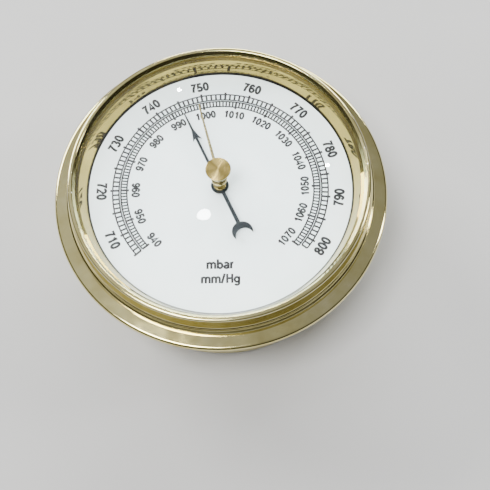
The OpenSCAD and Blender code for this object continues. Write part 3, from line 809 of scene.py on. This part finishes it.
def character_strokes():
    """Each character's pen strokes, as lists of points."""
    six = [
        oval(0.25, 0.215, 0.155, 0.165, 180, 540, 18),
        oval(0.25, 0.365, 0.155, 0.275, 30, 180, 10) + [(0.095, 0.215)],
    ]
    nine = [[(0.5 - x, CAP - y) for x, y in stroke] for stroke in six]
    return {
        "0": [oval(0.25, 0.345, 0.155, 0.295, 0, 360, 22)],
        "1": [[(0.30, 0.0), (0.30, CAP)], [(0.29, 0.61), (0.23, 0.54), (0.12, 0.49)]],
        "2": [oval(0.25, 0.475, 0.155, 0.165, 170, -30, 12) + [(0.11, 0.05), (0.43, 0.05)]],
        "3": [
            oval(0.235, 0.50, 0.14, 0.14, 160, -90, 10),
            oval(0.235, 0.205, 0.165, 0.155, 90, -160, 12),
        ],
        "4": [[(0.34, 0.0), (0.34, 0.66), (0.08, 0.20), (0.45, 0.20)]],
        "5": [
            [(0.40, 0.64), (0.15, 0.64), (0.115, 0.33)]
            + oval(0.24, 0.215, 0.165, 0.165, 120, -160, 12),
        ],
        "6": six,
        "7": [[(0.08, 0.64), (0.415, 0.64), (0.30, 0.44), (0.235, 0.24), (0.21, 0.0)]],
        "8": [
            oval(0.25, 0.505, 0.13, 0.135, 0, 360, 16),
            oval(0.25, 0.205, 0.16, 0.155, 0, 360, 18),
        ],
        "9": nine,
        "m": [
            [(0.07, 0.0), (0.07, SMALL)],
            [(0.07, 0.33)] + oval(0.195, 0.33, 0.115, 0.12, 160, 0, 8) + [(0.31, 0.0)],
            [(0.31, 0.33)] + oval(0.435, 0.33, 0.115, 0.12, 160, 0, 8) + [(0.55, 0.0)],
        ],
        "b": [[(0.07, 0.0), (0.07, CAP + 0.02)], oval(0.21, 0.235, 0.14, 0.19, 0, 360, 18)],
        "a": [
            oval(0.20, 0.14, 0.12, 0.10, 0, 360, 14),
            [(0.33, 0.0), (0.33, 0.32)] + oval(0.205, 0.33, 0.125, 0.12, 0, 160, 8),
        ],
        "r": [
            [(0.07, 0.0), (0.07, SMALL)],
            [(0.07, 0.28)] + oval(0.20, 0.30, 0.12, 0.14, 160, 80, 5),
        ],
        "/": [[(0.03, -0.02), (0.22, CAP + 0.02)]],
        "H": [[(0.07, 0.0), (0.07, CAP)], [(0.39, 0.0), (0.39, CAP)], [(0.07, 0.36), (0.39, 0.36)]],
        "g": [
            oval(0.20, 0.255, 0.14, 0.18, 0, 360, 18),
            [(0.34, SMALL), (0.34, -0.02)] + oval(0.205, -0.02, 0.135, 0.13, 0, -155, 9),
        ],
    }


# How far each letter moves the pen; a digit moves it by ADVANCE.
LETTER_ADVANCE = {"m": 0.65, "b": 0.41, "a": 0.43, "r": 0.30, "/": 0.31, "H": 0.49, "g": 0.42}


def pen(points, width):
    """A stroke's outlines: one four-sided piece for each step, mitred where they meet."""
    same = 1e-6
    closed = math.dist(points[0], points[-1]) < same
    count = len(points)
    sides = []
    for i in range(count):
        before = points[i - 1] if i else (points[-2] if closed else points[0])
        after = points[i + 1] if i < count - 1 else (points[1] if closed else points[-1])
        here = Vector(points[i])
        steps = [step.normalized() for step in (here - Vector(before), Vector(after) - here)
                 if step.length > same]
        along = sum(steps, Vector((0, 0))).normalized()
        mitre = min(1 / max(along.dot(steps[0]), 0.4), 1.6)
        offset = Vector((-along.y, along.x)) * width / 2 * mitre
        sides.append((here - offset, here + offset))
    pieces = []
    for (right_a, left_a), (right_b, left_b) in zip(sides, sides[1:]):
        pieces.append([tuple(right_a), tuple(right_b), tuple(left_b), tuple(left_a)])
    return pieces


def word_outlines(text, cap, strokes, width_scale, pen_width):
    """A word's outlines at that cap height, centred on the origin."""
    scale = cap / CAP
    widths = [LETTER_ADVANCE.get(character, ADVANCE) for character in text]
    pieces = []
    shift = -sum(widths) / 2
    for character, width in zip(text, widths):
        for stroke in strokes[character]:
            line = [((x + shift) * width_scale, y - CAP / 2) for x, y in stroke]
            for piece in pen(line, pen_width):
                pieces.append([(x * scale, y * scale) for x, y in piece])
        shift += width
    return pieces


def placed(outlines, x, y, degrees):
    """Outlines turned anticlockwise and moved."""
    a = math.radians(degrees)
    c, s = math.cos(a), math.sin(a)
    return [[(x + c * u - s * v, y + s * u + c * v) for u, v in outline] for outline in outlines]


def build_lettering():
    """Both scales' numbers, turned to be read from the nearer way up, and the units' names."""
    strokes = character_strokes()
    rows = [(v, mbar_angle(v), 21.5, 2.05) for v in range(940, 1071, 10)]
    rows += [(v, mmhg_angle(v), 30.2, 2.5) for v in range(710, 801, 10)]
    outlines = []
    for value, clock, radius, cap in rows:
        upright = -clock if abs(clock) < 90 else 180 - clock
        number = word_outlines(str(value), cap, strokes, 0.92, 0.18)
        outlines += placed(number, *on_dial(radius, clock), upright)
    for unit, y, cap in (("mbar", -20.75, 2.45), ("mm/Hg", -24.55, 2.40)):
        outlines += placed(word_outlines(unit, cap, strokes, 1.1, 0.165), 0, y, 0)
    piece = prism_list("dial_lettering", outlines, INK_Z, INK_T)
    finish_piece(piece, "printing_ink", "case", "white_dial")


# ---- hands ----

def pointer_outline():
    """Half the pointer's outline from its tip to its crescent tail, then mirrored."""
    hub = 2.28
    moon, moon_r = -13.85, 2.65
    bite, bite_r = -15.35, 2.25
    right = [(0.17, 23.0), (0.32, 17.6), (0.74, 15.7), (1.22, 14.3), (0.33, 15.0), (0.38, 2.25)]
    right += arc(0, 0, hub, 80, -78, 28)
    right += [(0.46, -2.5), (0.52, -11.3)]
    apart = moon - bite
    chord_y = moon - (apart ** 2 + moon_r ** 2 - bite_r ** 2) / (2 * apart)
    horn = math.degrees(math.asin((chord_y - moon) / moon_r))
    right += arc(0, moon, moon_r, 76, horn, 24)
    inner = math.degrees(math.asin((chord_y - bite) / bite_r))
    right += arc(0, bite, bite_r, inner, 90, 18)[1:]
    return right + [(-x, y) for x, y in right[-2::-1]]


def build_pointer():
    """The blackened pointer, laid at its reading."""
    hole = arc(0, 0, 1.0, 360, 15, 23)
    bottom = low("pointer").z
    thickness = high("pointer").z - bottom
    piece = curve_plate("pointer_hand", [pointer_outline(), hole], bottom, thickness, HAND_EDGE)
    smooth_by_angle(piece)
    turn_z(piece, POINTER_ANGLE)
    finish_piece(piece, "blackened_steel", "pointer", "blackened_steel", "pointer")


def build_boss():
    """The boss that holds the pointer on its arbor."""
    bore = 0.52
    profile = fillet([
        (bore, 0.5, 0.03), (1.3, 0.5, 0.05), (1.3, 1.38, 0.03), (0.97, 1.38, 0.03),
        (0.97, 1.62, 0.03), (1.6, 1.62, 0.06), (1.6, 2.2, 0.16), (bore, 2.2, 0.06),
    ])
    piece = lathe("pointer_boss_turned", profile, segments=SMALL_SEGMENTS)
    finish_piece(piece, "turned_brass", "pointer", "turned_brass", "pointer_boss")


def build_knob():
    """The setting knob: a cone up to a narrow rim, a slightly crowned brushed face and a stem."""
    foot = high("knob_washer").z - DIAL_Z + 0.02
    stem_end = low("set_knob").z - DIAL_Z
    stem_r = 1.08
    profile = fillet([
        (0, stem_end, 0), (stem_r, stem_end, 0.1), (stem_r, foot, 0.03), (1.95, foot, 0.12),
        (KNOB_R - 0.15, KNOB_TOP - 0.75, 0.12), (KNOB_R, KNOB_TOP - 0.55, 0.10),
        (KNOB_R, KNOB_TOP - 0.14, 0.10), (0, KNOB_TOP - 0.01, 0),
    ], closed=False, steps=6)
    piece = lathe("set_knob_turned", profile, closed=False, segments=160)
    finish_piece(piece, "knob_brass", "set_hand", "turned_brass", "set_knob")


def build_set_hand():
    """The brass set hand: a hub and a thin blade."""
    hub_z = low("set_hand").z - DIAL_Z
    hub_h = high("set_hand").z - low("set_hand").z
    length = 22.1
    hub_r, bore = 2.0, 1.1
    profile = fillet([
        (bore, hub_z, 0.03), (hub_r, hub_z, 0.08),
        (hub_r, hub_z + hub_h, 0.10), (bore, hub_z + hub_h, 0.03),
    ])
    hub = lathe("set_hand_hub", profile, segments=SMALL_SEGMENTS)
    finish_piece(hub, "turned_brass", "set_hand", "turned_brass")
    blade_outline = [
        (-0.42, 1.6), (0.42, 1.6), (0.21, length - 0.3), (0.11, length),
        (-0.11, length), (-0.21, length - 0.3),
    ]
    blade_z, blade_t = hub_z + DIAL_Z + 0.1, 0.2
    blade = curve_plate("set_hand_blade", [blade_outline], blade_z, blade_t, HAND_EDGE)
    smooth_by_angle(blade)
    turn_z(blade, SET_HAND_ANGLE)
    finish_piece(blade, "turned_brass", "set_hand", "turned_brass", "set_hand")


# ---- movement ----

def build_diaphragms():
    """The two corrugated skins of the capsule; the upper one flexes with its post."""
    capsule_r = high("capsule_upper_diaphragm").x
    middle = low("capsule_upper_diaphragm").z
    height = high("capsule_upper_diaphragm").z - middle
    sheet = 0.22
    crown, foot = 4.0, capsule_r - 1.8
    steps, waves = 96, 4
    fall, ripple = 1.5, 0.35
    skin = [(0.0, height), (crown * 0.6, height)]
    for i in range(steps + 1):
        f = i / steps
        wave = math.sin(AROUND * waves * f)
        skin.append((crown + (foot - crown) * f, height - fall * f - ripple * wave))
    skin += [(foot + 0.4, sheet), (capsule_r, sheet)]
    under = [(r, max(0.0, z - sheet)) for r, z in skin]
    upper_profile = smooth_line(under) + smooth_line(skin[::-1])
    upper = lathe("capsule_skin_upper", upper_profile, closed=False, z0=middle, segments=128)
    lower_profile = [(r, -z, nr, -nz) for r, z, nr, nz in upper_profile][::-1]
    lower = lathe("capsule_skin_lower", lower_profile, closed=False, z0=middle, segments=128)
    finish_piece(lower, "capsule_alloy", "case", "capsule_alloy", "capsule_lower_diaphragm")
    bend_piece(upper, "capsule_alloy", "capsule_upper_diaphragm")


def cut_along_x(piece, start, end, step):
    """Adds cross cuts to a plate so that it can bend."""
    bm = bmesh.new()
    bm.from_mesh(piece.data)
    across = Vector((1, 0, 0))
    x = start
    while x < end:
        geometry = bm.verts[:] + bm.edges[:] + bm.faces[:]
        bmesh.ops.bisect_plane(bm, geom=geometry, plane_co=across * x * MM, plane_no=across, dist=WELD)
        x += step
    bm.to_mesh(piece.data)
    bm.free()


def build_main_spring():
    """The leaf spring that holds the capsule open: it bends from its block to the lever."""
    block = high("spring_block").x
    back, tip = low("main_spring").x, high("main_spring").x
    clamp_x = (block + back) / 2
    outline = [(back, -6), (block, -6), (tip, -4), (tip, 4), (block, 6), (back, 6)]
    holes = [(0, 0, 1.7), (clamp_x, 3.6, 1.0), (clamp_x, -3.6, 1.0)]
    outlines = [outline] + [arc(x, y, r, 360, 15, 23) for x, y, r in holes]
    bottom = low("main_spring").z
    thickness = high("main_spring").z - bottom
    leaf = curve_plate("main_spring_leaf", outlines, bottom, thickness, edge=0.04)
    cut_along_x(leaf, block + 0.25, tip, 0.5)
    smooth_by_angle(leaf)
    bend_piece(leaf, "blued_steel", "main_spring")


def build_hairspring():
    """The flat spiral that takes the slack out of the movement."""
    turns, per_turn = 4.25, 48
    inner, outer = 1.66, 6.25
    ribbon = 0.11
    bottom, top = low("hairspring").z, high("hairspring").z
    bm = bmesh.new()
    last = None
    count = int(turns * per_turn)
    for i in range(count + 1):
        a = AROUND * i / per_turn
        r = inner + (outer - inner) * i / count
        ring = []
        for dr, z in ((-ribbon, bottom), (ribbon, bottom), (ribbon, top), (-ribbon, top)):
            x, y = (r + dr) * math.cos(a), (r + dr) * math.sin(a)
            ring.append(bm.verts.new((x * MM, y * MM, z * MM)))
        if last:
            for k in range(4):
                bm.faces.new((last[k], last[(k + 1) % 4], ring[(k + 1) % 4], ring[k]))
        else:
            bm.faces.new(ring[::-1])
        last = ring
    bm.faces.new(last)
    bmesh.ops.recalc_face_normals(bm, faces=bm.faces)
    piece = from_bmesh("hairspring_spiral", bm)
    smooth_by_angle(piece, 40)
    finish_piece(piece, "blued_steel", "case", "blued_steel", "hairspring")


# The chain's pins lie at this radius where they wrap the drum.
CHAIN_WRAP_R = 2.2


def chain_route():
    """Where the chain's pins are: from its wrap on the drum out to the rocker's arm."""
    pitch = 0.8
    wrapped_links = 6
    end_x = high("chain").x - 0.3
    angles = [k * pitch / CHAIN_WRAP_R for k in range(wrapped_links, 0, -1)]
    wrapped = [(-CHAIN_WRAP_R * math.sin(a), -CHAIN_WRAP_R * math.cos(a)) for a in angles]
    count = int(end_x / pitch)
    return wrapped + [(end_x * k / count, -CHAIN_WRAP_R) for k in range(count + 1)]


def link_plate(bm, a, b, z, thickness):
    """A figure-eight link plate between two pins."""
    a, b = Vector(a), Vector(b)
    along = (b - a).normalized()
    side = Vector((-along.y, along.x))
    end_r, waist = 0.24, 0.12
    sweep = 115
    shape = []
    for eye, facing, out in ((b, 0, 1), (a, 180, -1)):
        for u, v in arc(0, 0, end_r, facing - sweep, facing + sweep, 8):
            shape.append(eye + along * u + side * v)
        shape.append((a + b) / 2 + side * waist * out)
    add_prism(bm, shape, z, thickness)


def build_chain():
    """The fusee-type chain: single plates between pairs of plates, on small pins."""
    bottom = low("chain").z
    sheet = 0.14
    pin_r = 0.1
    pin_rise, pin_length = 0.05, 0.7
    pins = chain_route()
    bm = bmesh.new()
    for i, (a, b) in enumerate(zip(pins, pins[1:])):
        levels = (0.33,) if i % 2 else (0.14, 0.52)
        for level in levels:
            link_plate(bm, a, b, bottom + level, sheet)
    for x, y in pins:
        add_prism(bm, arc(x, y, pin_r, 0, 315, 7), bottom + pin_rise, pin_length)
    piece = from_bmesh("chain_links", bm)
    bend_piece(piece, "plain_steel", "chain")


# ---- studio ----

def build_floor():
    """A plain floor just under the back cover, in metres."""
    half = 3.0
    drop = 0.00005
    mesh = bpy.data.meshes.new("floor")
    corners = [(x * half, y * half, -drop) for x, y in ((-1, -1), (1, -1), (1, 1), (-1, 1))]
    mesh.from_pydata(corners, [], [(0, 1, 2, 3)])
    floor = add_object("floor", mesh)
    mesh.materials.append(pale_floor())


def build_world():
    """A dim room: darker at the horizon and to the right, lighter overhead and to the left."""
    world = bpy.data.worlds.new("studio")
    bpy.context.scene.world = world
    world.use_nodes = True
    tree = world.node_tree
    background = tree.nodes["Background"]
    place = tree.nodes.new("ShaderNodeTexCoord")
    split = tree.nodes.new("ShaderNodeSeparateXYZ")
    ramp = tree.nodes.new("ShaderNodeValToRGB")
    tree.links.new(place.outputs["Generated"], split.inputs[0])
    tree.links.new(split.outputs["Z"], ramp.inputs["Fac"])
    across = tree.nodes.new("ShaderNodeMapRange")
    across.interpolation_type = "SMOOTHSTEP"
    for key, number in (("From Min", -0.35), ("From Max", 0.25), ("To Min", 1.55), ("To Max", 0.75)):
        across.inputs[key].default_value = number
    tree.links.new(split.outputs["X"], across.inputs["Value"])
    scale = tree.nodes.new("ShaderNodeVectorMath")
    scale.operation = "SCALE"
    tree.links.new(ramp.outputs["Color"], scale.inputs[0])
    tree.links.new(across.outputs["Result"], scale.inputs["Scale"])
    tree.links.new(scale.outputs["Vector"], background.inputs["Color"])
    stops = [(0.0, (0.03, 0.03, 0.025)), (0.45, (0.07, 0.07, 0.06)), (0.85, (0.52, 0.53, 0.54))]
    set_stops(ramp, stops)
    background.inputs["Strength"].default_value = 0.9


def add_lamp(name, place, aim, size, watts, colour=(1, 1, 1), shape="RECTANGLE"):
    """A soft flat lamp, in metres and watts."""
    light = bpy.data.lights.new(name, "AREA")
    light.shape = shape
    light.size, light.size_y = size
    light.energy = watts
    light.color = colour
    lamp = add_object(name, light)
    lamp.location = place
    lamp.rotation_euler = (Vector(aim) - Vector(place)).to_track_quat("-Z", "Y").to_euler()
    return lamp


def build_lights():
    """Soft lamps clear of what the crystal mirrors, and three small ones that glint in it."""
    centre = (0, 0, DIAL_Z * MM)
    add_lamp("overhead", (-0.26, -0.22, 1.0), centre, (0.42, 0.36), 14.5, (1.0, 0.99, 0.97))
    add_lamp("key", (-0.66, 0.62, 0.50), centre, (0.45, 0.25), 12.0, (1.0, 0.99, 0.96))
    add_lamp("side", (0.80, 0.15, 0.45), centre, (0.12, 0.40), 3.5, (1.0, 0.98, 0.94))
    add_lamp("window", (0.20, 1.05, 0.42), centre, (1.1, 0.30), 24.0, (0.97, 1.0, 1.0))
    for name, x, y, size, watts in (
        ("glint_left", -0.17, 0.87, 0.013, 0.3),
        ("glint_right", 0.237, 0.58, 0.013, 0.3),
        ("glint_middle", -0.09, 0.423, 0.036, 0.4),
    ):
        add_lamp(name, (x, y, 1.12), centre, (size, size * 0.8), watts, shape="ELLIPSE")


def build_camera():
    """The camera at the photograph's angle: 26 degrees off the dial's axis, rolled a little."""
    camera = add_object("camera", bpy.data.cameras.new("camera"))
    place = Vector((10.72, -110.86, 229.66 + DIAL_Z)) * MM
    aim = Vector((6.08, -15.68, DIAL_Z)) * MM
    roll = math.radians(-3.9)
    look = (aim - place).to_track_quat("-Z", "Y").to_matrix().to_4x4()
    camera.matrix_world = Matrix.Translation(place) @ look @ Matrix.Rotation(roll, 4, "Z")
    camera.data.lens = 73.47
    camera.data.sensor_width = 36
    camera.data.clip_start = 0.01
    bpy.context.scene.camera = camera


build_camera()
paint_cad_nodes()
build_flange()
build_bezel()
build_crystal()
build_gaskets()
build_reflector()
build_dial()
build_scales()
build_lettering()
build_pointer()
build_boss()
build_knob()
build_set_hand()
build_diaphragms()
build_main_spring()
build_hairspring()
build_chain()
build_floor()
build_world()
build_lights()
